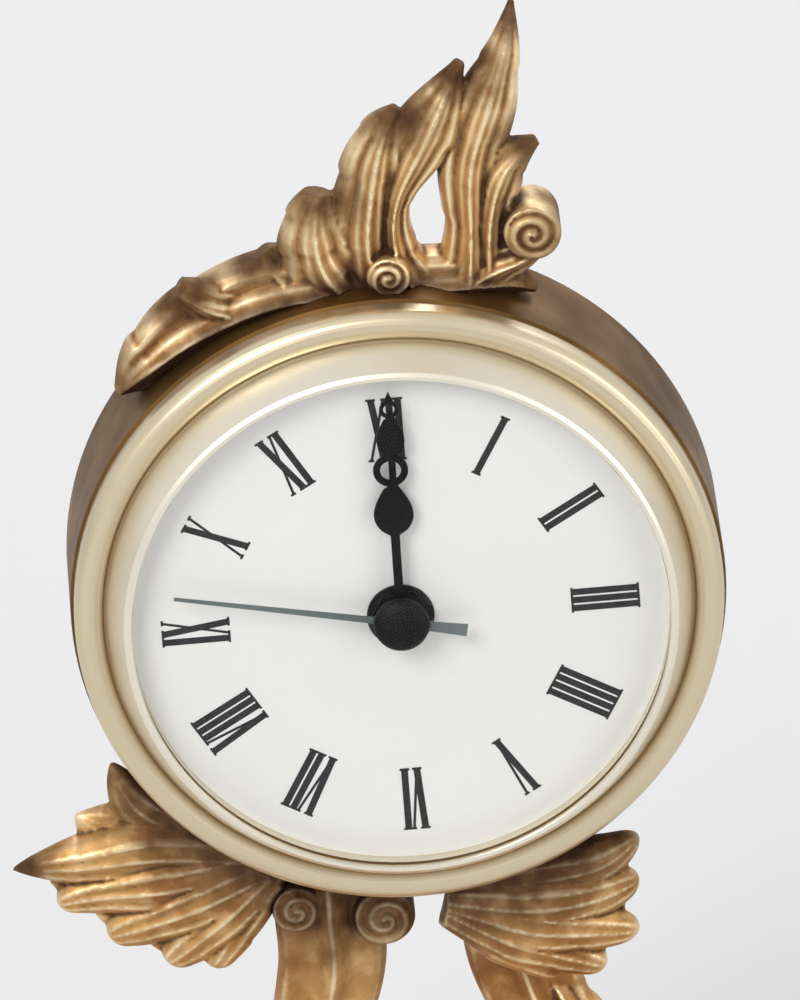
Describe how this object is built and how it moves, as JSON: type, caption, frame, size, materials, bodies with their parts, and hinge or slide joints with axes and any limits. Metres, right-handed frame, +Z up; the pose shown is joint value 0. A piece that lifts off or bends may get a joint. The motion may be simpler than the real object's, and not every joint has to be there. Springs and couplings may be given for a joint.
{
  "type": "figural mantel clock",
  "caption": "Gilt rocaille mantel clock: a round drum with a leafy crest on scroll legs over a seated child, with a glazed dial, a quartz movement and a rear door.",
  "frame": {"origin": "on the floor under the middle of the plinth", "axes": "+X to the right and +Z up as the dial is read; the dial faces -Y and the door faces +Y"},
  "size_m": [0.154, 0.076, 0.2785],
  "materials": {
    "cast_gilt": "cast, warm gilt, satin with polished ridges",
    "drum_gilt": "spun sheet, duller brown gilt",
    "bezel_brass": "polished pale brass",
    "plain_brass": "turned",
    "nickel": "nickel-plated brass, satin",
    "glass": "clear, domed",
    "dial_white": "matt white enamel",
    "hand_black": "satin black lacquer",
    "hand_grey": "satin grey lacquer",
    "rubber": "matt",
    "movement_plastic": "moulded, fine grain",
    "gear_plastic": "moulded, natural",
    "steel": "plain",
    "copper_wire": "enamelled copper wire",
    "circuit_green": "lacquered board",
    "battery_grey": "plain steel can",
    "felt": "wool felt"
  },
  "bodies": {
    "clock": {"drum_case": "drum_gilt", "bezel": "bezel_brass", "glass": "glass", "glass_ring": "bezel_brass", "bezel_screws": "steel", "dial": "dial_white", "spacer_ring": "steel", "rubber_washer": "rubber", "brass_washer": "nickel", "fixing_nut": "nickel", "threaded_bush": "plain_brass", "movement_front_case": "movement_plastic", "movement_rear_case": "movement_plastic", "bridge_plate": "gear_plastic", "bridge_screws": "steel", "stator": "steel", "coil_core": "steel", "coil_bobbin": "gear_plastic", "coil_winding": "copper_wire", "circuit_board": "circuit_green", "quartz_crystal": "steel", "battery": "battery_grey", "contact_positive": "steel", "contact_negative": "steel", "hinge_bracket": "plain_brass", "hinge_pin": "steel", "hinge_screws": "steel", "crest": "cast_gilt", "crest_screws": "steel", "leaf_left": "cast_gilt", "leaf_right": "cast_gilt", "leaf_screws": "steel", "leg_left": "cast_gilt", "leg_right": "cast_gilt", "leg_top_screws": "steel", "leg_foot_screws": "steel", "plinth": "cast_gilt", "foot_front_left": "cast_gilt", "foot_front_right": "cast_gilt", "foot_back_left": "cast_gilt", "foot_back_right": "cast_gilt", "foot_screws": "steel", "felt_pads": "felt", "figure": "cast_gilt", "figure_screw": "steel"},
    "hour": {"hour_wheel": "gear_plastic", "hour_hand": "hand_black"},
    "minute": {"centre_wheel": "gear_plastic", "minute_hand": "hand_black"},
    "second": {"seconds_wheel": "gear_plastic", "second_hand": "hand_grey", "hub_cap": "hand_black"},
    "setting": {"minute_wheel": "gear_plastic", "setting_knob": "movement_plastic"},
    "third": {"third_wheel": "gear_plastic"},
    "step": {"step_wheel": "gear_plastic"},
    "rotor": {"rotor": "gear_plastic"},
    "door": {"rear_door": "drum_gilt", "door_knob": "plain_brass"}
  },
  "joints": [
    {"name": "second_spin", "type": "hinge", "parent": "clock", "child": "second", "pos_m": [0, 0, 0.176], "axis": [0, 1, 0], "continuous": true},
    {"name": "minute_spin", "type": "hinge", "parent": "clock", "child": "minute", "pos_m": [0, 0, 0.176], "axis": [0, 1, 0], "continuous": true},
    {"name": "hour_spin", "type": "hinge", "parent": "clock", "child": "hour", "pos_m": [0, 0, 0.176], "axis": [0, 1, 0], "continuous": true},
    {"name": "third_spin", "type": "hinge", "parent": "clock", "child": "third", "pos_m": [-0.00546, 0, 0.18251], "axis": [0, 1, 0], "continuous": true},
    {"name": "step_spin", "type": "hinge", "parent": "clock", "child": "step", "pos_m": [-0.00822, 0, 0.17301], "axis": [0, 1, 0], "continuous": true},
    {"name": "rotor_spin", "type": "hinge", "parent": "clock", "child": "rotor", "pos_m": [-0.01412, 0, 0.16888], "axis": [0, 1, 0], "continuous": true},
    {"name": "setting_spin", "type": "hinge", "parent": "clock", "child": "setting", "pos_m": [0.0087, 0, 0.176], "axis": [0, 1, 0], "continuous": true},
    {"name": "door_swing", "type": "hinge", "parent": "clock", "child": "door", "pos_m": [-0.048, 0.0139, 0.176], "axis": [0, 0, 1], "range_deg": [0, 110]}
  ],
  "couplings": [
    {"joint": "third_spin", "follows": "second_spin", "ratio": -0.13333},
    {"joint": "minute_spin", "follows": "second_spin", "ratio": 0.016667},
    {"joint": "setting_spin", "follows": "second_spin", "ratio": -0.0055556},
    {"joint": "hour_spin", "follows": "second_spin", "ratio": 0.0013889},
    {"joint": "step_spin", "follows": "second_spin", "ratio": -6},
    {"joint": "rotor_spin", "follows": "second_spin", "ratio": 30}
  ]
}
